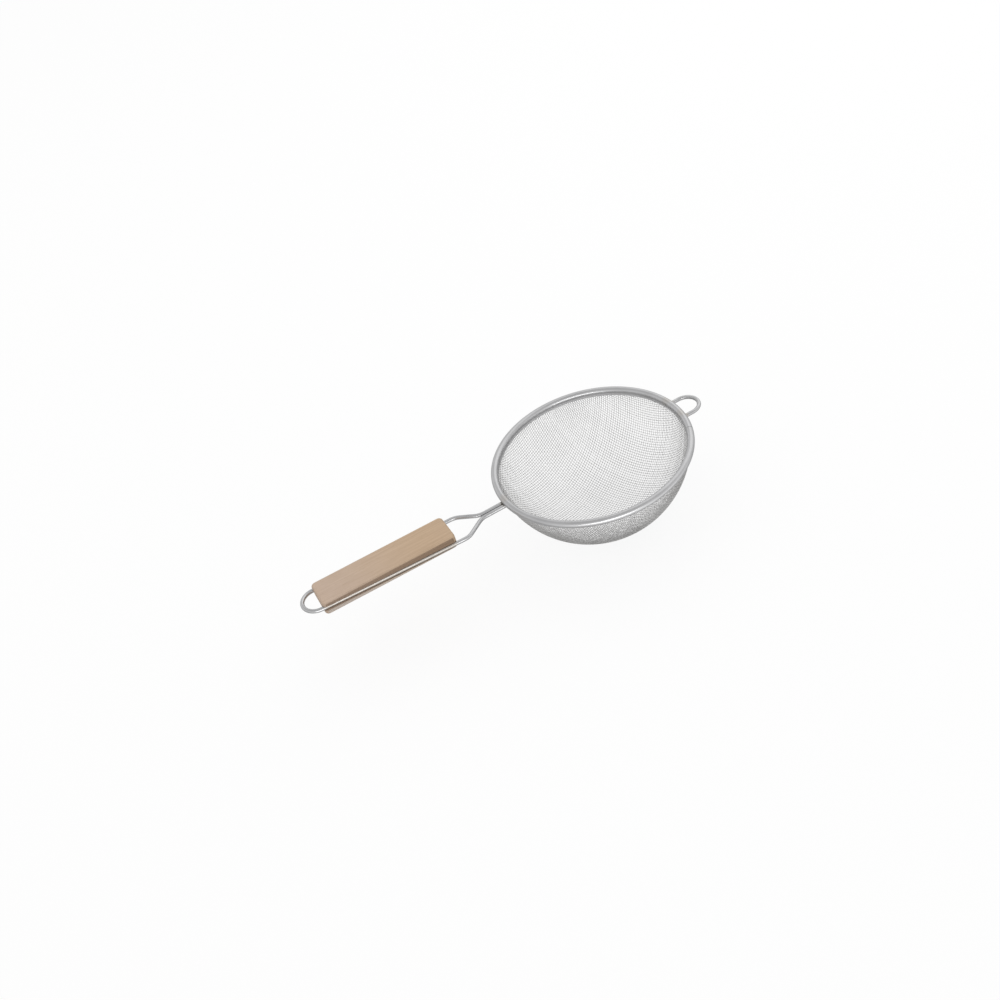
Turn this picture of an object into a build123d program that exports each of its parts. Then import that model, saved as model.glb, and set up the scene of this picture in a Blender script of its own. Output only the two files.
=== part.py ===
from build123d import *
import os
from math import acos, asin, atan2, cos, degrees, hypot, sin, sqrt

# Bowl strainer with a flat wooden handle. Millimetres, +Z up along the bowl's axis.
# The origin is the centre of the rim, in the plane of the ring wire.
# The handle runs towards -X and the rest loop towards +X. The right half mirrors the left.

# Rim
rim_outer_diameter = 158.8
ring_wire_diameter = 2.9
band_thickness = 0.5
band_inner_leg_length = 3.2
curl_cloth_gap = 0.3
nest_clearance = 0.05

# Mesh bowl
cloth_thickness = 0.75
cloth_wrap_end_degrees = 25
bowl_depth = 66.0
wall_below_leg = 1.8
bowl_shoulder_radius = 20.0
weave_turn_degrees = 26
mesh_openings_across = 12
mesh_bar_width = 3.0
selvage_below_leg = 3.0
smallest_opening_drop = 5.0

# Handle wire and rest loop
frame_wire_diameter = 3.2
weld_penetration = 0.15
wire_end_clearance = 0.2
window_clearance = 0.6
window_top_clearance = 0.8
foot_hole_clearance = 0.25
neck_leg_gap = 0.7
neck_length = 19.1
fork_length = 16.5
fork_bend_radius = 12.0
hanging_loop_radius = 11.55
hanging_loop_rise = 5.2
rest_loop_radius = 10.5
rest_leg_length = 6.2

# Wooden handle, with the gaps in front of it and behind it and the legs' places in its sides
fork_to_handle = 9.6
handle_to_loop_centre = 0.55
handle_length = 109.6
handle_width = 28.0
handle_edge_thickness = 10.8
handle_crown = 0.5
leg_inset = 0.35
leg_below_middle_at_front = 2.2
leg_above_middle_at_rear = 0.5
handle_corner_radius = 3.5
handle_edge_radius = 1.8
groove_side_clearance = 0.5
groove_seat_clearance = 0.1

# One overrun serves every cut that has to pass right through
cut_overrun = 1.0

# Sizes that follow from the ones above
ring_wire_radius = ring_wire_diameter / 2
frame_wire_radius = frame_wire_diameter / 2
cloth_wrap_radius = ring_wire_radius + nest_clearance + cloth_thickness / 2
band_inner_radius = cloth_wrap_radius + cloth_thickness / 2 + nest_clearance
band_outer_radius = band_inner_radius + band_thickness
ring_circle_radius = rim_outer_diameter / 2 - band_outer_radius
cloth_wall_radius = ring_circle_radius - cloth_wrap_radius
cloth_outer_radius = cloth_wall_radius + cloth_thickness / 2
curl_end_offset = ring_circle_radius - cloth_outer_radius - curl_cloth_gap
bowl_wall_drop = band_inner_leg_length + wall_below_leg
openings_top = -band_inner_leg_length - selvage_below_leg
frame_wire_height = weld_penetration - ring_wire_radius - frame_wire_radius
wire_end_radius = cloth_outer_radius + wire_end_clearance
rest_loop_reach = rim_outer_diameter / 2 + rest_leg_length
neck_leg_spacing = frame_wire_diameter + neck_leg_gap
grip_leg_spread = handle_width - 2 * leg_inset

# Places along the handle, each a distance from the bowl's axis towards -X
fork_start_reach = rim_outer_diameter / 2 + neck_length
fork_end_reach = fork_start_reach + fork_length
handle_front_reach = fork_end_reach + fork_to_handle
handle_rear_reach = handle_front_reach + handle_length
hanging_loop_reach = handle_rear_reach + handle_to_loop_centre


def reach_at(radius, offset):
    """Distance along X to a circle of this radius about the bowl's axis, at this offset from the X axis."""
    return sqrt(radius**2 - offset**2)


def base_sphere():
    """Radius and centre height of the round base, which meets the shoulder arc and is level at the axis."""
    drop = bowl_depth - bowl_wall_drop
    inset = cloth_wall_radius - bowl_shoulder_radius
    radius = (inset**2 + drop**2 - bowl_shoulder_radius**2) / (2 * (drop - bowl_shoulder_radius))
    return radius, radius - bowl_depth


def cloth_contour(side):
    """One face of the cloth's section: side is +1 for the outer face of the bowl and -1 for the inner face."""
    shift = side * cloth_thickness / 2
    wrap_radius = cloth_wrap_radius - shift
    wall_x = cloth_wall_radius + shift
    base_radius, base_height = base_sphere()
    base_centre = (0, base_height)
    shoulder_centre = (cloth_wall_radius - bowl_shoulder_radius, -bowl_wall_drop)
    join = degrees(atan2(shoulder_centre[1] - base_centre[1], shoulder_centre[0]))
    return [
        CenterArc((ring_circle_radius, 0), wrap_radius, -cloth_wrap_end_degrees, 180 + cloth_wrap_end_degrees),
        Line((wall_x, 0), (wall_x, -bowl_wall_drop)),
        CenterArc(shoulder_centre, bowl_shoulder_radius + shift, 0, join),
        CenterArc(base_centre, base_radius + shift, join, -90 - join),
    ]


def section_face(edges):
    """A closed section, drawn with X as the radius and Y as the height, stood up in the XZ plane."""
    return Plane.XZ * make_face(edges)


def net_directions():
    """Crossings of one quarter of the net, as unit directions from the base sphere's centre.

    The net hangs on the sphere as cloth does: its threads keep their spacing along their length and shear
    where they cross, so each new crossing mirrors the one across the diagonal of its own opening.
    """
    base_radius, base_height = base_sphere()
    step = acos((base_height - openings_top) / base_radius) / (mesh_openings_across / 2)
    net = {}
    for i in range(mesh_openings_across):
        net[i, 0] = Vector(sin(i * step), 0, -cos(i * step))
        net[0, i] = Vector(0, sin(i * step), -cos(i * step))
    for i in range(1, mesh_openings_across):
        for j in range(1, mesh_openings_across):
            diagonal = net[i, j - 1].cross(net[i - 1, j]).normalized()
            net[i, j] = net[i - 1, j - 1] - diagonal * (2 * diagonal.dot(net[i - 1, j - 1]))
    return net


def opening_block(corners):
    """Tapered block through the shell between four threads, each side half a bar inside its thread."""
    base_radius, base_height = base_sphere()
    middle = (corners[0] + corners[1] + corners[2] + corners[3]).normalized()
    rings = []
    for depth in (base_radius - bowl_shoulder_radius, base_radius + cut_overrun):
        points = []
        for k in range(4):
            before = corners[k - 1].cross(corners[k]).normalized()
            after = corners[k].cross(corners[(k + 1) % 4]).normalized()
            inset = (before + after) * (mesh_bar_width / 2 / (1 + before.dot(after)))
            travel = (depth - middle.dot(inset)) / middle.dot(corners[k])
            points.append(Vector(0, 0, base_height) + inset + corners[k] * travel)
        rings.append(points)
    near, far = rings
    sides = [[near[k - 1], near[k], far[k], far[k - 1]] for k in range(4)]
    return Solid(Shell([Face(Wire.make_polygon(points)) for points in (near, *sides, far)]))


def mesh_openings():
    """Blocks for the whole net's openings, cut off level below the selvage."""
    base_radius, base_height = base_sphere()
    net = net_directions()
    below = Pos(0, 0, openings_top - base_radius) * Box(4 * base_radius, 4 * base_radius, 2 * base_radius)
    blocks = []
    for i in range(mesh_openings_across - 1):
        for j in range(mesh_openings_across - 1):
            if base_height + base_radius * net[i, j].Z > openings_top - smallest_opening_drop:
                continue
            block = opening_block([net[i, j], net[i, j + 1], net[i + 1, j + 1], net[i + 1, j]]) & below
            blocks += [Rot(0, 0, weave_turn_degrees + quarter * 90) * block for quarter in range(4)]
    return blocks


def mesh_bowl():
    """Cloth as a thin shell: wrap over the ring wire, wall, shoulder and round base, open between coarse bars."""
    outer = cloth_contour(1)
    inner = cloth_contour(-1)
    ends = [Line(outer[0] @ 0, inner[0] @ 0), Line(outer[-1] @ 1, inner[-1] @ 1)]
    return revolve(section_face(outer + inner + ends), Axis.Z) - mesh_openings()


def ring_wire():
    """Closed ring that stiffens the rim."""
    return revolve(Plane.XZ * Pos(ring_circle_radius, 0) * Circle(ring_wire_radius), Axis.Z)


def band_contour(radius):
    """One face of the band's section: inner leg, roll over the top and down the outside, curl below."""
    leg_x = ring_circle_radius - radius
    curl_end = 90 + degrees(asin(curl_end_offset / band_outer_radius))
    return [
        Line((leg_x, -band_inner_leg_length), (leg_x, 0)),
        CenterArc((ring_circle_radius, 0), radius, 180, -180 - curl_end),
    ]


def band_window(centre_y, width, towards, top):
    """Block that opens the band's outer wall and curl for wires, and leaves its inner leg whole."""
    inner_x = reach_at(cloth_outer_radius, max(abs(centre_y) - width / 2, 0))
    outer_x = rim_outer_diameter / 2 + cut_overrun
    bottom = -band_outer_radius - cut_overrun
    block = Box(outer_x - inner_x, width, top - bottom)
    return Pos(towards * (inner_x + outer_x) / 2, centre_y, (top + bottom) / 2) * block


def rim_band():
    """Sheet rolled round the ring wire and the cloth's edge, with windows for the wires."""
    outer = band_contour(band_outer_radius)
    inner = band_contour(band_inner_radius)
    ends = [Line(outer[0] @ 0, inner[0] @ 0), Line(outer[-1] @ 1, inner[-1] @ 1)]
    band = revolve(section_face(outer + inner + ends), Axis.Z)
    wire_top = frame_wire_height + frame_wire_radius
    neck_width = neck_leg_spacing + frame_wire_diameter + 2 * window_clearance
    band -= band_window(0, neck_width, -1, wire_top + window_top_clearance)
    for side in (1, -1):
        foot_width = frame_wire_diameter + 2 * foot_hole_clearance
        band -= band_window(side * rest_loop_radius, foot_width, 1, wire_top + foot_hole_clearance)
    return band


def leg_height(reach):
    """Height of the grip legs' centrelines, which rise steadily from the fork to the hanging loop."""
    slope = hanging_loop_rise / (hanging_loop_reach - fork_end_reach)
    return frame_wire_height + slope * (reach - fork_end_reach)


def grip_line(side):
    """Where the leg on this side leaves the fork, where it meets the hanging loop, and the loop's rear end.

    The leg is tangent to the loop, in the plane that rises from the fork to the loop.
    """
    fork_end = Vector(-fork_end_reach, 0, leg_height(fork_end_reach))
    loop_centre = Vector(-hanging_loop_reach, 0, leg_height(hanging_loop_reach))
    rearward = (loop_centre - fork_end).normalized()
    sideways = Vector(0, side, 0)
    run = (loop_centre - fork_end).length
    half_spread = grip_leg_spread / 2
    span = hypot(run, half_spread)
    slant = asin(hanging_loop_radius / span) - asin(half_spread / span)
    leg_length = sqrt(span**2 - hanging_loop_radius**2)
    start = fork_end + sideways * half_spread
    end = start + rearward * leg_length * cos(slant) + sideways * leg_length * sin(slant)
    return start, end, loop_centre + rearward * hanging_loop_radius


def handle_leg(side):
    """Centreline of one leg: the neck, the fork's two bends and the grip, as far as the hanging loop."""
    neck_y = side * neck_leg_spacing / 2
    start, end, _ = grip_line(side)
    weld = Vector(-reach_at(wire_end_radius, neck_leg_spacing / 2), neck_y, frame_wire_height)
    fork = Vector(-fork_start_reach, neck_y, frame_wire_height)
    return FilletPolyline(weld, fork, start, end, radius=fork_bend_radius)


def wire_along(*curves):
    """Round wire along a centreline."""
    path = Wire([edge for curve in curves for edge in curve.edges()])
    return sweep(Plane(path @ 0, z_dir=path % 0) * Circle(frame_wire_radius), path)


def handle_wire():
    """One wire: weld, neck, fork and grip on the left, hanging loop, and the same back on the right."""
    _, left_end, loop_rear = grip_line(1)
    _, right_end, _ = grip_line(-1)
    return wire_along(handle_leg(1), ThreePointArc(left_end, loop_rear, right_end), handle_leg(-1))


def rest_loop():
    """U-shaped wire whose two feet pass under the ring wire."""
    foot_reach = reach_at(wire_end_radius, rest_loop_radius - frame_wire_radius)
    left = Vector(rest_loop_reach, rest_loop_radius, frame_wire_height)
    right = Vector(rest_loop_reach, -rest_loop_radius, frame_wire_height)
    tip = Vector(rest_loop_reach + rest_loop_radius, 0, frame_wire_height)
    left_foot = Vector(foot_reach, rest_loop_radius, frame_wire_height)
    right_foot = Vector(foot_reach, -rest_loop_radius, frame_wire_height)
    return wire_along(Line(left_foot, left), ThreePointArc(left, tip, right), Line(right, right_foot))


def grip_section():
    """Cross-section of the wood before its edges are rounded: flat sides and crowned faces."""
    half_width = handle_width / 2
    half_edge = handle_edge_thickness / 2
    crown = half_edge + handle_crown
    return make_face([
        ThreePointArc((-half_width, half_edge), (0, crown), (half_width, half_edge)),
        Line((half_width, half_edge), (half_width, -half_edge)),
        ThreePointArc((half_width, -half_edge), (0, -crown), (-half_width, -half_edge)),
        Line((-half_width, -half_edge), (-half_width, half_edge)),
    ])


def groove(side):
    """Slot with a round bottom along one leg of the handle wire, open to the wood's side."""
    start, end, _ = grip_line(side)
    along = (end - start).normalized()
    outward = Vector(0, side, 0)
    groove_radius = frame_wire_radius + groove_side_clearance
    centre = outward * (groove_side_clearance - groove_seat_clearance)
    mouth = handle_width / 2
    plane = Plane(start + centre, x_dir=outward, z_dir=along)
    slot = Circle(groove_radius) + Pos(mouth / 2, 0) * Rectangle(mouth, 2 * groove_radius)
    return extrude(plane * slot, (end - start).length + cut_overrun)


def wood_handle():
    """Flat wooden grip with crowned faces, rounded edges and a groove in each side."""
    height = handle_edge_thickness + 2 * handle_crown
    plan = RectangleRounded(handle_length, handle_width, handle_corner_radius)
    block = Pos(handle_length / 2, 0, -height / 2) * extrude(plan, height)
    grip = block & extrude(Plane.YZ * grip_section(), handle_length)
    faces = grip.faces().sort_by(Axis.Z)
    grip = fillet(faces[0].edges() + faces[-1].edges(), handle_edge_radius)
    front = Vector(-handle_front_reach, 0, leg_height(handle_front_reach) + leg_below_middle_at_front)
    rear = Vector(-handle_rear_reach, 0, leg_height(handle_rear_reach) - leg_above_middle_at_rear)
    rearward = rear - front
    across = Vector(0, handle_width, 0)
    grip = Plane(front, x_dir=rearward, z_dir=across.cross(rearward)) * grip
    return grip - groove(1) - groove(-1)


pieces = {
    "mesh_bowl": mesh_bowl,
    "rim_band": rim_band,
    "ring_wire": ring_wire,
    "handle_wire": handle_wire,
    "rest_loop": rest_loop,
    "wood_handle": wood_handle,
}

os.makedirs("parts", exist_ok=True)
for name, make in pieces.items():
    export_step(make(), os.path.join("parts", name + ".step"))
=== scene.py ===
"""Looks of a bowl strainer with a flat wooden handle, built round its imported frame.

Woven wires stand for the plain mesh bowl, the steel and the wood get their finishes,
and a pale floor, soft lamps and a camera complete the scene. Lengths are in metres.
"""
from math import atan2, cos, hypot, pi, radians, sin, sqrt

import bpy
from bpy.props import FloatProperty, FloatVectorProperty, IntProperty, PointerProperty
from mathutils import Matrix, Vector


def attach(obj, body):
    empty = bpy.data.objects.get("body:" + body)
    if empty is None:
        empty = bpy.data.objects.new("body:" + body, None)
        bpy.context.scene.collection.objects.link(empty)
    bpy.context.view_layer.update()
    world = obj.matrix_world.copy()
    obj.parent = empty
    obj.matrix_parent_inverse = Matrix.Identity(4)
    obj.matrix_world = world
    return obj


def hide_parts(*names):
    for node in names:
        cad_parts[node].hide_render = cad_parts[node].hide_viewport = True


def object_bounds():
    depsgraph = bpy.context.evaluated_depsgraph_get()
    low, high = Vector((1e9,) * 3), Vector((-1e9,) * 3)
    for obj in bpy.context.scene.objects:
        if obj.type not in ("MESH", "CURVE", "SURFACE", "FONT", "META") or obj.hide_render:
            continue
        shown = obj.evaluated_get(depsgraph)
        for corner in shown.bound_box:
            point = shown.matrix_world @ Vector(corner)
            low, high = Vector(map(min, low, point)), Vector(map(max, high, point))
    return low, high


bl_info = {
    "name": "Bowl strainer",
    "version": (1, 0, 0),
    "blender": (4, 5, 0),
    "location": "View3D > Sidebar > Strainer",
    "description": "Builds the woven cloth, finishes and stage of a bowl strainer",
    "category": "Object",
}

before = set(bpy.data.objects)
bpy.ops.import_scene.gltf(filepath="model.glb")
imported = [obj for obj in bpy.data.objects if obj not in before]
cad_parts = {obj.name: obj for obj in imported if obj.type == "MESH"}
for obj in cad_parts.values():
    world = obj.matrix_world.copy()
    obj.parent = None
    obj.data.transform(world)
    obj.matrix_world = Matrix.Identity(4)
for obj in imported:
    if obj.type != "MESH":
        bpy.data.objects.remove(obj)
FRAME_BOX = [list(corner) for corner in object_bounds()]
BODY = "strainer"


# Sizes and colours


def length(name, default, text):
    return FloatProperty(
        name=name, description=text, default=default, min=0, unit="LENGTH", precision=5
    )


def angle(name, degrees, text):
    return FloatProperty(
        name=name, description=text, default=radians(degrees), subtype="ANGLE", unit="ROTATION"
    )


def share(name, default, text):
    return FloatProperty(name=name, description=text, default=default, min=0, soft_max=1)


def power(name, default, text):
    return FloatProperty(name=name, description=text, default=default, min=0, unit="POWER")


def colour(name, default, text):
    return FloatVectorProperty(
        name=name, description=text, default=default, size=3, min=0, max=1, subtype="COLOR"
    )


class ClothSizes(bpy.types.PropertyGroup):
    """Woven wire cloth pressed into the bowl"""

    wire_diameter: length("Wire diameter", 0.00035, "Diameter of one woven wire")
    pitch: length("Pitch", 0.002, "Distance from one wire to the next along the cloth")
    turn: angle("Turn", 26, "Angle from the handle's line to the weave")
    depth: length("Depth", 0.066, "Depth of the cloth's middle below the ring wire's centre")
    wall_radius: length("Wall radius", 0.074725, "Radius of the upright wall under the rim")
    wall_drop: length("Wall drop", 0.005, "Height of the upright wall")
    shoulder_radius: length("Shoulder radius", 0.020, "Radius of the bend from wall to base")
    wrap_radius: length("Wrap radius", 0.001875, "Radius of the cloth's edge round the ring wire")
    wrap_angle: angle("Wrap angle", 205, "How far the cloth's edge goes round the ring wire")
    roundness: IntProperty(
        name="Roundness", description="Steps in the wires' round section", default=0, min=0
    )


class SteelSizes(bpy.types.PropertyGroup):
    """Ring wire, the joint in the rim's sheet and the weld beads under the ring"""

    bead_width: length("Bead width", 0.0017, "Width of a weld bead")
    bead_length: length("Bead length", 0.0023, "Length of a weld bead across the handle wire")
    bead_height: length("Bead height", 0.0008, "Height of a weld bead")
    neck_spacing: length("Neck spacing", 0.0039, "Distance between the two legs of the neck")
    foot_spacing: length("Foot spacing", 0.021, "Distance between the rest loop's feet")
    ring_radius: length("Ring radius", 0.0766, "Radius of the ring wire's circle")
    ring_diameter: length("Ring wire diameter", 0.0029, "Diameter of the ring wire")
    joint_place: angle("Joint place", -22.5, "Joint of the rim's sheet, round from the rest loop")
    joint_width: length("Joint width", 0.0003, "Width of the line where the sheet's ends meet")


class WoodSizes(bpy.types.PropertyGroup):
    """Where the handle wire's legs run in the sides of the wood"""

    half_width: length("Half width", 0.014, "Half the width of the wood")
    front: length("Front", 0.1246, "Distance from the bowl's axis to the wood's front end")
    rear: length("Rear", 0.2342, "Distance from the bowl's axis to the wood's rear end")
    leg_start: length("Leg start", 0.115, "Distance from the bowl's axis to the fork's end")
    leg_drop: length("Leg drop", 0.0029, "Depth of the legs at the fork below the ring's centre")
    leg_rise: share("Leg rise", 0.0434, "Rise of the legs to the rear for each length along them")


class Colours(bpy.types.PropertyGroup):
    """Colours of the finishes"""

    band: colour("Rim", (0.50, 0.50, 0.505), "Rolled steel of the rim")
    wire: colour("Wire", (0.50, 0.50, 0.505), "Bright drawn wire")
    cloth: colour("Cloth", (0.555, 0.55, 0.545), "Fine wires of the cloth")
    tint: colour("Heat tint", (0.40, 0.35, 0.28), "Steel coloured by the heat of a weld")
    # Painted reflection: the wood's warm colour, put into the wire where it runs along the handle
    reflected_wood: colour("Held wire", (0.46, 0.41, 0.35), "Wire dulled by the hand that holds it")
    wood_light: colour("Light wood", (0.51, 0.368, 0.242), "Early growth in the grain")
    wood_dark: colour("Dark wood", (0.41, 0.283, 0.18), "Late growth in the grain")
    wood_worn: colour("Worn wood", (0.50, 0.395, 0.335), "Wood greyed by use at the rear")
    # Painted shade: the colour that darkens the wood's upright sides above the wires, where shade falls
    wood_painted_shade: colour("Stained wood", (0.205, 0.125, 0.075), "Wood stained above the wires")
    # Painted light: the paler, greyer colour of the upright sides below the wires, as if lit from the
    # floor
    wood_painted_floor_light: colour("Grey wood", (0.58, 0.555, 0.52), "Wood greyed by water below the wires")


class StageSettings(bpy.types.PropertyGroup):
    """Floor, lamps and camera"""

    floor_gap: length("Floor gap", 0.0002, "Gap between the bowl and the floor")
    floor_size: length("Floor size", 12, "Side of the square floor")
    floor_white: share("Floor white", 0.82, "How much of its own white the floor shows")
    floor_gleam: share("Floor gleam", 1.5, "How bright the floor in front looks in the steel")
    floor_dim: share("Floor dim", 0.62, "How bright the floor below looks in the steel")
    key_power: power("Key power", 5.5, "Power of the key lamp")
    fill_power: power("Fill power", 4, "Power of the fill lamp")
    side_level: share("Side level", 0.45, "Strength of the light from the sides")
    top_level: share("Top level", 1.24, "Strength of the light from above")
    ceiling: share("Ceiling", 0.72, "How bright the studio's ceiling looks in the steel")
    lens: FloatProperty(
        name="Lens", description="Focal length in millimetres", default=46.8, unit="CAMERA"
    )


# Shader nodes written as expressions


class Value:
    """A shader socket on which arithmetic adds Math nodes"""

    def __init__(self, finish, socket):
        self.finish = finish
        self.socket = socket

    def __add__(self, other):
        return self.finish.math("ADD", self, other)

    def __sub__(self, other):
        return self.finish.math("SUBTRACT", self, other)

    def __rsub__(self, other):
        return self.finish.math("SUBTRACT", other, self)

    def __mul__(self, other):
        return self.finish.math("MULTIPLY", self, other)

    __radd__ = __add__
    __rmul__ = __mul__

    def ramp(self, low, high):
        """0 up to low, 1 from high, and a smooth rise between"""
        settings = {"interpolation_type": "SMOOTHSTEP"}
        return self.finish.node("ShaderNodeMapRange", settings, self, low, high, 0.0, 1.0)


class Finish:
    """Builds the node tree of one material or of the world"""

    def __init__(self, tree):
        self.tree = tree
        tree.nodes.clear()

    def node(self, kind, settings=None, *values, out=0, **named):
        """Adds a node, makes its settings, fills its sockets and returns one of its outputs"""
        node = self.tree.nodes.new(kind)
        for key, value in (settings or {}).items():
            setattr(node, key, value)
        for place, value in [*enumerate(values), *named.items()]:
            if isinstance(place, str):
                place = place.replace("_", " ")
            self.fill(node.inputs[place], value)
        return Value(self, node.outputs[out]) if len(node.outputs) else None

    def fill(self, socket, value):
        if isinstance(value, Value):
            self.tree.links.new(value.socket, socket)
        elif socket.type == "RGBA" and len(value) == 3:
            socket.default_value = (*value, 1.0)
        else:
            socket.default_value = value

    def math(self, operation, *values):
        return self.node("ShaderNodeMath", {"operation": operation}, *values)

    def mix(self, factor, first, second):
        """Colour between first and second"""
        node = self.tree.nodes.new("ShaderNodeMix")
        node.data_type = "RGBA"
        for place, value in ((0, factor), (6, first), (7, second)):
            self.fill(node.inputs[place], value)
        return Value(self, node.outputs[2])

    def blend(self, factor, first, second):
        """Shader between first and second"""
        return self.node("ShaderNodeMixShader", None, factor, first, second)

    def parts(self, vector):
        """X, Y and Z of a vector"""
        outputs = self.node("ShaderNodeSeparateXYZ", None, vector).socket.node.outputs
        return [Value(self, outputs[axis]) for axis in "XYZ"]

    def place(self):
        """Object coordinates"""
        return self.node("ShaderNodeTexCoord", out="Object")

    def rays(self):
        """1 on a ray from the camera, on one in a reflection and on one through glass"""
        outputs = self.node("ShaderNodeLightPath").socket.node.outputs
        kinds = ("Is Camera Ray", "Is Glossy Ray", "Is Transmission Ray")
        return [Value(self, outputs[kind]) for kind in kinds]

    def vector(self, x, y, z):
        return self.node("ShaderNodeCombineXYZ", None, x, y, z)

    def noise(self, vector, scale, detail=3.0, roughness=0.5):
        return self.node(
            "ShaderNodeTexNoise", None, Vector=vector, Scale=scale, Detail=detail,
            Roughness=roughness,
        )

    def streaks(self, axes, along, across, detail=3.0, roughness=0.6):
        """Noise drawn out along X, finer across than along"""
        x, y, z = axes
        drawn = self.vector(x * along, y * across, z * across)
        return self.noise(drawn, 1.0, detail, roughness)

    def bump(self, height, strength, distance):
        return self.node(
            "ShaderNodeBump", None, Strength=strength, Distance=distance, Height=height
        )

    def surface(self, **sockets):
        shader = self.node("ShaderNodeBsdfPrincipled", None, **sockets)
        self.node("ShaderNodeOutputMaterial", None, shader)


def new_material(name):
    material = bpy.data.materials.new(name)
    material.use_nodes = True
    return material, Finish(material.node_tree)


def toned(base, level):
    """A colour made darker, or brighter with a level over 1"""
    return [channel * level for channel in base]


# Finishes

# Distances from a weld between which its tint fades
TINT_FADE = (0.0022, 0.0060)
# Where painted light makes the rim's inner leg paler: insets from the ring wire's circle, and heights,
# of the fade
LIT_LEG_INSETS = (0.0026, 0.0023)
LIT_LEG_HEIGHTS = (-0.0016, -0.0008)
# How far the wire's roughening and its painted reflection of the wood fade out beyond the wood's ends
# and set in within them
WOOD_REFLECTION_BEYOND, WOOD_REFLECTION_WITHIN = 0.001, 0.003
# X between which the wood turns from worn at the rear to fresh
WORN_FADE = (-0.23, -0.14)
# Distances inside the wood's width between which its upright sides begin
FLANK_FADE = (0.0004, 0.0001)
# Height over which the painted shade above the wires sets in
PAINTED_SHADE_FADE = 0.001
# Depth of the fine relief of rolled and drawn steel, weld metal and wood
STEEL_RELIEF, BEAD_RELIEF, WOOD_RELIEF = 0.00004, 0.00008, 0.00012


def weld_glow(finish, x, y):
    """1 at a weld, fading to 0 a few millimetres away"""
    sizes = bpy.context.scene.strainer_steel
    places = [(-sizes.ring_radius, 0.0)]
    places += [(sizes.ring_radius, side * sizes.foot_spacing / 2) for side in (1, -1)]
    glow = None
    for weld_x, weld_y in places:
        dx, dy = x - weld_x, y - weld_y
        distance = finish.math("SQRT", dx * dx + dy * dy)
        near = 1.0 - distance.ramp(*TINT_FADE)
        glow = near if glow is None else glow + near
    return glow


def rim_finish():
    """Rolled sheet: fine lines along the rim, a joint where its ends meet and painted light on the inner
    leg
    """
    colours = bpy.context.scene.strainer_colours
    sizes = bpy.context.scene.strainer_steel
    material, finish = new_material("rolled_rim_steel")
    place = finish.place()
    x, y, z = finish.parts(place)
    radius = finish.math("SQRT", x * x + y * y)
    turn = finish.math("ARCTAN2", y, x)
    along = finish.vector(radius * 1800.0, z * 1800.0, turn * 6.0)
    lines = finish.noise(along, scale=1.0, detail=4.0, roughness=0.6)
    cloudy = finish.noise(place, scale=60.0)
    handled = finish.noise(place, scale=340.0, detail=2.0)
    shade = finish.mix(cloudy.ramp(0.35, 0.7) * 0.5, colours.band, toned(colours.band, 0.84))
    shade = finish.mix(weld_glow(finish, x, y) * 0.25, shade, colours.tint)
    off_joint = finish.math("ABSOLUTE", turn - sizes.joint_place) * radius
    joint = 1.0 - off_joint.ramp(sizes.joint_width / 2, sizes.joint_width)
    shade = finish.mix(joint * 0.8, shade, toned(colours.band, 0.25))
    # Painted light: the inner leg is made paler below its bend, with a lighter copy of the rim's steel
    leg = 1.0 - radius.ramp(*(sizes.ring_radius - inset for inset in LIT_LEG_INSETS))
    lit_below_bend = 1.0 - z.ramp(*LIT_LEG_HEIGHTS)
    shade = finish.mix(leg * lit_below_bend * 0.8, shade, toned(colours.band, 1.5))
    finish.surface(
        Base_Color=shade, Metallic=1.0,
        Roughness=0.24 + lines * 0.10 + handled * 0.06,
        Normal=finish.bump(lines - joint * 4.0, strength=0.12, distance=STEEL_RELIEF),
    )
    return material


def wire_finish():
    """Bright drawn wire, tinted at its welds, rougher where it runs along the wood and given a painted
    reflection of the wood there
    """
    colours = bpy.context.scene.strainer_colours
    wood = bpy.context.scene.strainer_wood
    material, finish = new_material("drawn_wire_steel")
    place = finish.place()
    x, y, z = finish.parts(place)
    lines = finish.streaks((x, y, z), along=90.0, across=900.0)
    dull = finish.noise(place, scale=120.0)
    shade = finish.mix(dull.ramp(0.4, 0.75) * 0.6, colours.wire, toned(colours.wire, 0.8))
    shade = finish.mix(weld_glow(finish, x, y) * 0.55, shade, colours.tint)
    reach = 0.0 - x
    behind_front = reach.ramp(wood.front - WOOD_REFLECTION_BEYOND, wood.front + WOOD_REFLECTION_WITHIN)
    past_rear = reach.ramp(wood.rear - WOOD_REFLECTION_WITHIN, wood.rear + WOOD_REFLECTION_BEYOND)
    reflected_wood = behind_front * (1.0 - past_rear)
    # Painted reflection: along the wood the wire takes on the wood's warm colour
    shade = finish.mix(reflected_wood * 0.6, shade, colours.reflected_wood)
    finish.surface(
        Base_Color=shade, Metallic=1.0,
        Roughness=0.16 + dull * 0.14 + lines * 0.05 + reflected_wood * 0.16,
        Normal=finish.bump(lines, strength=0.1, distance=STEEL_RELIEF),
    )
    return material


def cloth_finish():
    """Fine wire, a little duller than the frame's"""
    colours = bpy.context.scene.strainer_colours
    material, finish = new_material("woven_wire_steel")
    patches = finish.noise(finish.place(), scale=45.0)
    shade = finish.mix(patches.ramp(0.35, 0.7) * 0.6, colours.cloth, toned(colours.cloth, 0.78))
    finish.surface(Base_Color=shade, Metallic=1.0, Roughness=0.28 + patches * 0.12)
    return material


def bead_finish():
    """Weld metal, dull and tinted by its heat"""
    colours = bpy.context.scene.strainer_colours
    material, finish = new_material("weld_bead_steel")
    grit = finish.noise(finish.place(), scale=1800.0)
    shade = finish.mix(grit.ramp(0.3, 0.7), colours.tint, toned(colours.wire, 0.7))
    finish.surface(
        Base_Color=shade, Metallic=1.0, Roughness=0.4 + grit * 0.2,
        Normal=finish.bump(grit, strength=0.4, distance=BEAD_RELIEF),
    )
    return material


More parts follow.
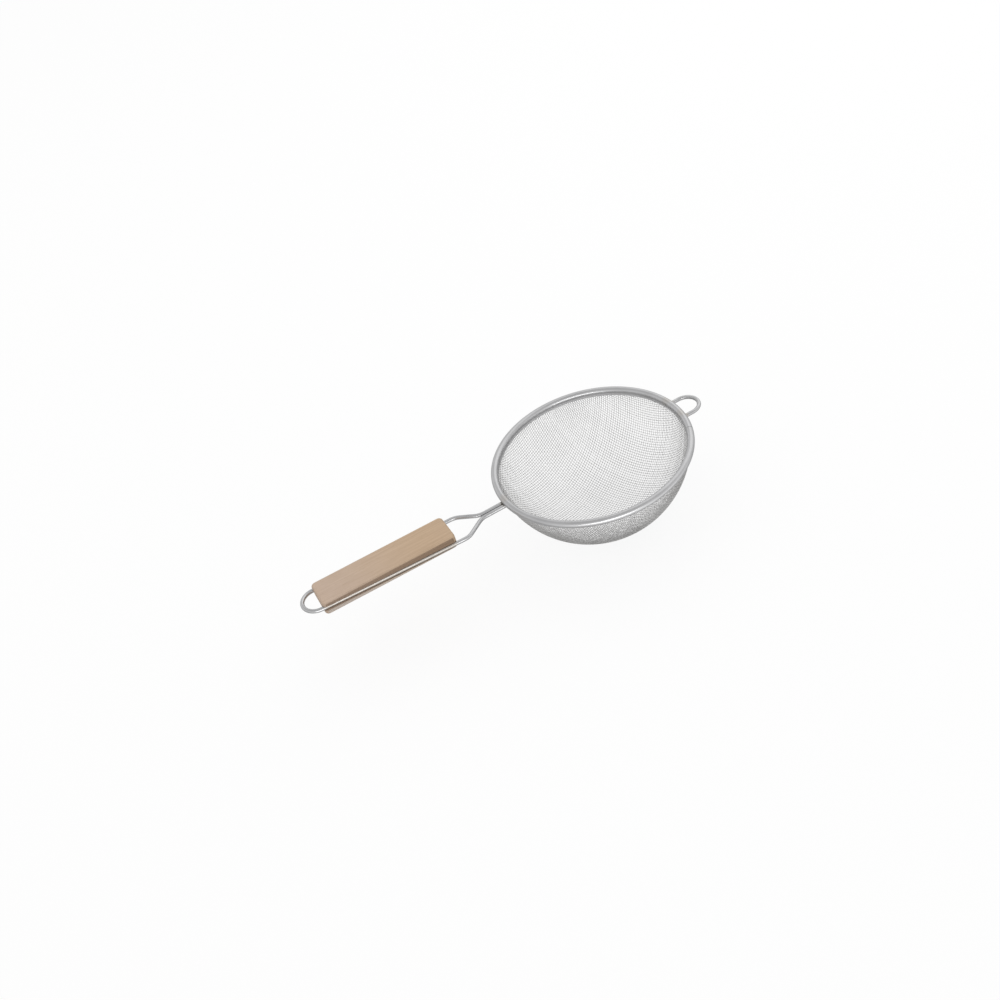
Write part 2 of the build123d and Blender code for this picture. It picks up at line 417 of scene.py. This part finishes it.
def wood_finish():
    """Unvarnished light wood, grained along its length, with painted shade on its sides above the wires
    and painted light below them
    """
    colours = bpy.context.scene.strainer_colours
    sizes = bpy.context.scene.strainer_wood
    material, finish = new_material("plain_wood")
    place = finish.place()
    axes = x, y, z = finish.parts(place)
    drift = finish.streaks(axes, along=7.0, across=20.0, detail=2.0, roughness=0.5) - 0.5
    drifted = finish.vector(x * 6.0, y * 420.0 + drift * 6.0, z * 260.0)
    rings = finish.noise(drifted, scale=1.0, detail=4.0, roughness=0.55)
    fibres = finish.streaks(axes, along=45.0, across=1500.0)
    pores = finish.streaks(axes, along=130.0, across=2600.0, detail=2.0, roughness=0.7)
    pores = pores.ramp(0.62, 0.72)
    shade = finish.mix(rings.ramp(0.3, 0.75) * 0.7, colours.wood_light, colours.wood_dark)
    shade = finish.mix((1.0 - x.ramp(*WORN_FADE)) * 0.6, shade, colours.wood_worn)
    shade = finish.mix(fibres.ramp(0.35, 0.75) * 0.35, shade, toned(colours.wood_dark, 0.8))
    shade = finish.mix(pores * 0.35, shade, toned(colours.wood_dark, 0.55))
    handled = finish.noise(place, scale=38.0)
    shade = finish.mix(handled.ramp(0.45, 0.75) * 0.25, shade, toned(colours.wood_light, 0.88))
    sideways = finish.math("ABSOLUTE", y)
    flank = sideways.ramp(*(sizes.half_width - inset for inset in FLANK_FADE))
    leg = (0.0 - x - sizes.leg_start) * sizes.leg_rise - sizes.leg_drop
    above = (z - leg).ramp(0.0, PAINTED_SHADE_FADE)
    # Painted shade: the upright sides above the wires are darkened as if shaded
    shade = finish.mix(flank * above * 0.75, shade, colours.wood_painted_shade)
    # Painted light: below the wires the sides turn paler and greyer, as if lit by the floor
    shade = finish.mix(flank * (1.0 - above) * 0.45, shade, colours.wood_painted_floor_light)
    relief = fibres * 0.6 + rings * 0.4 - pores * 0.5
    finish.surface(
        Base_Color=shade, Roughness=0.56 + fibres * 0.16,
        Normal=finish.bump(relief, strength=0.25, distance=WOOD_RELIEF),
    )
    return material


def give_finish(piece, material):
    """Puts one material in all the slots of a piece"""
    if not piece.data.materials:
        piece.data.materials.append(material)
    for number in range(len(piece.material_slots)):
        piece.material_slots[number].material = material


def settle(piece):
    """Makes a new piece ride with the strainer"""
    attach(piece, BODY)


# Woven cloth


class BowlShape:
    """The cloth's middle surface: round base, shoulder, upright wall and wrap round the ring wire"""

    def __init__(self, sizes):
        drop = sizes.depth - sizes.wall_drop
        shoulder = sizes.shoulder_radius
        self.sizes = sizes
        self.inset = sizes.wall_radius - shoulder
        self.base_radius = (self.inset**2 + drop**2 - shoulder**2) / (2 * (drop - shoulder))
        self.base_height = self.base_radius - sizes.depth
        self.join = pi / 2 - atan2(self.base_height + sizes.wall_drop, self.inset)
        self.base_end = self.base_radius * self.join
        self.shoulder_end = self.base_end + shoulder * (pi / 2 - self.join)
        self.wall_end = self.shoulder_end + sizes.wall_drop
        self.edge = self.wall_end + sizes.wrap_radius * sizes.wrap_angle

    def at(self, run):
        """Radius, height and outward direction at this distance along the cloth from its middle"""
        sizes = self.sizes
        if run < self.base_end:
            turn = run / self.base_radius
            across, down = self.base_radius * sin(turn), self.base_radius * cos(turn)
            return across, self.base_height - down, sin(turn), -cos(turn)
        if run < self.shoulder_end:
            turn = self.join + (run - self.base_end) / sizes.shoulder_radius
            across, down = sizes.shoulder_radius * sin(turn), sizes.shoulder_radius * cos(turn)
            return self.inset + across, -sizes.wall_drop - down, sin(turn), -cos(turn)
        if run < self.wall_end:
            return sizes.wall_radius, run - self.wall_end, 1.0, 0.0
        turn = (run - self.wall_end) / sizes.wrap_radius
        back, up = sizes.wrap_radius * cos(turn), sizes.wrap_radius * sin(turn)
        return sizes.wall_radius + sizes.wrap_radius - back, up, cos(turn), -sin(turn)


# Steps of the net to one pitch: a thread has a point one step before and after each crossing
QUARTERS = 4
# Height on a sphere of radius 1 above which the net isn't needed
NET_TOP = 0.2


def draped_net(shape, pitch):
    """Lays a square net on the bowl, whose threads keep their length and only turn at the crossings.

    It is worked out on the base's sphere, four threads to a pitch, for one quarter of the bowl, and
    gives each crossing's distance from the middle and its direction.
    """
    step = pitch / QUARTERS / shape.base_radius
    reach = shape.edge / shape.base_radius
    count = int(reach / step) + QUARTERS
    net = {}
    for place in range(count):
        turn = place * step
        net[place, 0] = Vector((sin(turn), 0, -cos(turn)))
        net[0, place] = Vector((0, sin(turn), -cos(turn)))
    for row in range(1, count):
        for column in range(1, count):
            corner = net.get((row - 1, column - 1))
            beside, below = net.get((row, column - 1)), net.get((row - 1, column))
            if corner is None or beside is None or below is None:
                continue
            if max(beside.z, below.z) > NET_TOP:
                continue
            mirror = beside.cross(below).normalized()
            net[row, column] = corner - 2 * corner.dot(mirror) * mirror
    return {
        key: (atan2(hypot(point.x, point.y), -point.z) * shape.base_radius, atan2(point.y, point.x))
        for key, point in net.items()
    }


def cloth_point(shape, net, turn, along, across, lift):
    """Place on the bowl of a point of the net, counted in its steps and lifted off the middle surface"""
    found = net.get((abs(along), abs(across)))
    if found is None or found[0] > shape.edge:
        return None
    run, heading = found
    forward, sideways = (1 if steps >= 0 else -1 for steps in (along, across))
    heading = atan2(sin(heading) * sideways, cos(heading) * forward) + turn
    radius, height, out, up = shape.at(run)
    radius, height = radius + lift * out, height + lift * up
    return Vector((radius * cos(heading), radius * sin(heading), height))


def deselect():
    bpy.ops.object.select_all(action="DESELECT")


def threads(name, shape, net, sizes, crossed):
    """One set of threads: a flat grid is cut into lines, laid on the bowl and given its thickness"""
    reach = int(shape.edge / sizes.pitch) + 1
    steps, rows = QUARTERS * reach - 1, 2 * reach
    deselect()
    bpy.ops.mesh.primitive_grid_add(x_subdivisions=steps, y_subdivisions=rows, size=1)
    grid = bpy.context.object
    grid.name = name
    mesh = grid.data
    bpy.ops.object.mode_set(mode="EDIT")
    bpy.ops.mesh.select_mode(type="EDGE")
    bpy.ops.mesh.select_all(action="DESELECT")
    bpy.ops.object.mode_set(mode="OBJECT")
    for edge in mesh.edges:
        first, second = (mesh.vertices[number].co for number in edge.vertices)
        edge.select = abs(first.y - second.y) > abs(first.x - second.x)
    bpy.ops.object.mode_set(mode="EDIT")
    bpy.ops.mesh.delete(type="EDGE")
    bpy.ops.mesh.select_mode(type="VERT")
    bpy.ops.mesh.select_all(action="DESELECT")
    bpy.ops.object.mode_set(mode="OBJECT")
    for vertex in mesh.vertices:
        # Steps of the net from its middle: odd along a thread, and whole pitches across
        along, across = round(vertex.co.x * 2 * steps), round(vertex.co.y * QUARTERS * rows)
        crossing = (along + (1 if along % QUARTERS == QUARTERS - 1 else -1)) // QUARTERS
        over = (crossing + across // QUARTERS) % 2 == (1 if crossed else 0)
        lift = (1 if over else -1) * sizes.wire_diameter / 2
        place = (across, along) if crossed else (along, across)
        point = cloth_point(shape, net, sizes.turn, *place, lift)
        vertex.select = point is None
        if point:
            vertex.co = point
    bpy.ops.object.mode_set(mode="EDIT")
    bpy.ops.mesh.delete(type="VERT")
    bpy.ops.mesh.select_all(action="SELECT")
    bpy.ops.mesh.delete_loose(use_verts=True, use_edges=False, use_faces=False)
    bpy.ops.object.mode_set(mode="OBJECT")
    bpy.ops.object.convert(target="CURVE")
    curve = bpy.context.object.data
    curve.bevel_depth = sizes.wire_diameter / 2
    curve.bevel_resolution = sizes.roundness
    curve.use_fill_caps = True
    bpy.ops.object.convert(target="MESH")
    bpy.ops.object.shade_smooth()
    return bpy.context.object


class STRAINER_OT_cloth(bpy.types.Operator):
    """Weaves the bowl's wire cloth"""

    bl_idname = "strainer.cloth"
    bl_label = "Woven cloth"

    def execute(self, context):
        sizes = context.scene.strainer_cloth
        shape = BowlShape(sizes)
        net = draped_net(shape, sizes.pitch)
        finish = cloth_finish()
        for name, crossed in (("cloth_warp", False), ("cloth_weft", True)):
            piece = threads(name, shape, net, sizes, crossed)
            give_finish(piece, finish)
            settle(piece)
            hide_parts("mesh_bowl")
        return {"FINISHED"}


# Rim, wires and wood

# How much a weld bead's two ends spread beyond its waist
BEAD_SPREAD = (1.35, 1.0, 1.25)


def weld_bead(name, place, sizes):
    """Bead of metal that has run into the corners between two crossed wires, waisted where they touch"""
    deselect()
    bpy.ops.mesh.primitive_uv_sphere_add(segments=32, ring_count=16, radius=0.5)
    bead = bpy.context.object
    bead.name = name
    bead.scale = (sizes.bead_width, sizes.bead_length, sizes.bead_height)
    bpy.ops.object.transform_apply(location=False, rotation=False, scale=True)
    for vertex in bead.data.vertices:
        vertex.select = abs(vertex.co.y) > sizes.bead_length / 4
    bpy.ops.object.mode_set(mode="EDIT")
    bpy.ops.mesh.select_mode(type="VERT")
    bpy.ops.transform.resize(value=BEAD_SPREAD)
    bpy.ops.mesh.select_all(action="SELECT")
    bpy.ops.mesh.vertices_smooth(factor=0.5, repeat=2)
    bpy.ops.object.mode_set(mode="OBJECT")
    ripples = bpy.data.textures.new(name, "CLOUDS")
    ripples.noise_scale = sizes.bead_width / 3
    swell = bead.modifiers.new("ripples", "DISPLACE")
    swell.texture = ripples
    swell.texture_coords = "LOCAL"
    swell.strength = sizes.bead_height / 4
    bpy.ops.object.modifier_apply(modifier=swell.name)
    bead.location = place
    bpy.ops.object.transform_apply(location=True, rotation=True, scale=True)
    bpy.ops.object.shade_smooth()
    return bead


class STRAINER_OT_steel(bpy.types.Operator):
    """Gives the rim and the wires their finishes and adds the weld beads"""

    bl_idname = "strainer.steel"
    bl_label = "Rim and wires"

    def execute(self, context):
        sizes = context.scene.strainer_steel
        give_finish(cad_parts["rim_band"], rim_finish())
        wire = wire_finish()
        for node in ("ring_wire", "handle_wire", "rest_loop"):
            give_finish(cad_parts[node], wire)
        bead_material = bead_finish()
        places = [(-1, side * sizes.neck_spacing / 2) for side in (1, -1)]
        places += [(1, side * sizes.foot_spacing / 2) for side in (1, -1)]
        for number, (towards, across) in enumerate(places):
            x = towards * sqrt(sizes.ring_radius**2 - across**2)
            place = (x, across, -sizes.ring_diameter / 2)
            bead = weld_bead(f"weld_bead_{number + 1}", place, sizes)
            give_finish(bead, bead_material)
            settle(bead)
        return {"FINISHED"}


class STRAINER_OT_wood(bpy.types.Operator):
    """Gives the handle its wood"""

    bl_idname = "strainer.wood"
    bl_label = "Wooden handle"

    def execute(self, context):
        give_finish(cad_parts["wood_handle"], wood_finish())
        return {"FINISHED"}


# Stage

WHITE = (1.0, 1.0, 1.0)
FLOOR_GREY = (0.86, 0.86, 0.86)
# Y between which the floor's painted reflection turns from bright in front to painted shade below the
# strainer
GLEAM_FADE = (-0.20, -0.07)
# How steeply up a direction points, 0 level and 1 overhead, where ceiling and top light set in
CEILING_FADE = (0.25, 0.95)
TOP_FADE = (0.1, 0.9)
# Point that the lamps face, and each lamp's place, width and height
LAMP_AIM = (-0.07, 0.0, -0.01)
KEY_LAMP = ((-0.45, -1.25, 0.16), 1.3, 0.4)
FILL_LAMP = ((0.9, 0.6, 1.2), 1.6, 1.6)
# Camera fitted to the photograph: its place and its three directions
CAMERA_PLACE = (-0.26054, -0.72439, 0.63589)
CAMERA_RIGHT = (0.8636497579, -0.4363183370, -0.2524587184)
CAMERA_DOWN = (-0.4690986467, -0.5122979505, -0.7193728307)
CAMERA_AHEAD = (0.1845414731, 0.7397142142, -0.6471223423)
CAMERA_SHIFT = (-0.0005, 0.0005)
CAMERA_RANGE = (0.01, 100)
SENSOR_WIDTH = 36


def floor_finish(stage):
    """Matt floor, white with a soft shadow; to the steel alone it glows, a painted reflection bright in
    front and painted shade below
    """
    material, finish = new_material("studio_floor")
    camera, glossy, glass = finish.rays()
    plain = finish.node("ShaderNodeBsdfDiffuse", None, Color=FLOOR_GREY)
    white, gleam, dim = (
        finish.node("ShaderNodeEmission", None, Color=WHITE, Strength=level)
        for level in (1.0, stage.floor_gleam, stage.floor_dim)
    )
    front = finish.parts(finish.place())[1]
    # Painted reflection: only the steel sees this glow, bright in front and dimmed to painted shade
    # below the strainer
    reflected = finish.blend(front.ramp(*GLEAM_FADE), gleam, dim)
    seen = finish.math("MAXIMUM", camera, glass)
    mixed = finish.blend(seen * stage.floor_white, plain, white)
    mixed = finish.blend(glossy * stage.floor_white, mixed, reflected)
    finish.node("ShaderNodeOutputMaterial", None, mixed)
    return material


def studio_world(stage):
    """Soft light, mostly from above; the steel shows it white at the sides and grey overhead"""
    world = bpy.data.worlds.new("studio")
    bpy.context.scene.world = world
    world.use_nodes = True
    finish = Finish(world.node_tree)
    camera, glossy, glass = finish.rays()
    up = finish.parts(finish.node("ShaderNodeTexCoord", out="Generated"))[2]
    sky = finish.mix(up.ramp(*CEILING_FADE), WHITE, toned(WHITE, stage.ceiling))
    shown = finish.node("ShaderNodeBackground", None, Color=sky)
    side, top = (
        finish.node("ShaderNodeBackground", None, Color=WHITE, Strength=level)
        for level in (stage.side_level, stage.top_level)
    )
    light = finish.blend(up.ramp(*TOP_FADE), side, top)
    seen = finish.math("MAXIMUM", finish.math("MAXIMUM", camera, glossy), glass)
    finish.node("ShaderNodeOutputWorld", None, finish.blend(seen, light, shown))


def softbox(name, placing, power_level):
    """Flat lamp turned towards the strainer"""
    place, width, height = placing
    deselect()
    bpy.ops.object.light_add(type="AREA", location=place)
    lamp = bpy.context.object
    lamp.name = name
    lamp.data.shape = "RECTANGLE"
    lamp.data.size = width
    lamp.data.size_y = height
    lamp.data.energy = power_level
    lamp.rotation_euler = (Vector(LAMP_AIM) - Vector(place)).to_track_quat("-Z", "Y").to_euler()
    return lamp


class STRAINER_OT_stage(bpy.types.Operator):
    """Adds the floor, the lamps, the world and the camera"""

    bl_idname = "strainer.stage"
    bl_label = "Stage"

    def execute(self, context):
        scene = context.scene
        stage = scene.strainer_stage
        scene.view_settings.view_transform = "Standard"
        level = FRAME_BOX[0][2] - stage.floor_gap
        deselect()
        bpy.ops.mesh.primitive_plane_add(size=stage.floor_size, location=(0, 0, level))
        floor = context.object
        floor.name = "floor"
        give_finish(floor, floor_finish(stage))
        studio_world(stage)
        key = softbox("key_lamp", KEY_LAMP, stage.key_power)
        key.visible_diffuse = False
        softbox("fill_lamp", FILL_LAMP, stage.fill_power)
        deselect()
        bpy.ops.object.camera_add()
        camera = context.object
        camera.name = "photo_camera"
        axes = (Vector(CAMERA_RIGHT), -Vector(CAMERA_DOWN), -Vector(CAMERA_AHEAD))
        turn = Matrix(axes).transposed().to_4x4()
        camera.matrix_world = Matrix.Translation(CAMERA_PLACE) @ turn
        camera.data.sensor_width = SENSOR_WIDTH
        camera.data.lens = stage.lens
        camera.data.shift_x, camera.data.shift_y = CAMERA_SHIFT
        camera.data.clip_start, camera.data.clip_end = CAMERA_RANGE
        scene.camera = camera
        return {"FINISHED"}


# Sidebar


class STRAINER_PT_panel(bpy.types.Panel):
    """Lists the strainer's sizes, colours and steps"""

    bl_idname = "STRAINER_PT_panel"
    bl_label = "Bowl strainer"
    bl_space_type = "VIEW_3D"
    bl_region_type = "UI"
    bl_category = "Strainer"

    def draw(self, context):
        layout = self.layout
        for name, title in GROUPS:
            box = layout.box()
            box.label(text=title)
            group = getattr(context.scene, name)
            for key in group.__annotations__:
                box.prop(group, key)
        for step in STEPS:
            layout.operator(step.bl_idname)


GROUPS = (
    ("strainer_cloth", "Cloth"),
    ("strainer_steel", "Rim and wires"),
    ("strainer_wood", "Wooden handle"),
    ("strainer_colours", "Colours"),
    ("strainer_stage", "Stage"),
)
GROUP_CLASSES = (ClothSizes, SteelSizes, WoodSizes, Colours, StageSettings)
STEPS = (STRAINER_OT_cloth, STRAINER_OT_steel, STRAINER_OT_wood, STRAINER_OT_stage)


def register():
    for group in (*GROUP_CLASSES, *STEPS, STRAINER_PT_panel):
        bpy.utils.register_class(group)
    for (name, title), group in zip(GROUPS, GROUP_CLASSES):
        setattr(bpy.types.Scene, name, PointerProperty(type=group, name=title))


def unregister():
    for name, _ in GROUPS:
        delattr(bpy.types.Scene, name)
    for group in reversed((*GROUP_CLASSES, *STEPS, STRAINER_PT_panel)):
        bpy.utils.unregister_class(group)


def main():
    register()
    bpy.ops.strainer.cloth()
    bpy.ops.strainer.steel()
    bpy.ops.strainer.wood()
    bpy.ops.strainer.stage()


if __name__ == "__main__":
    main()
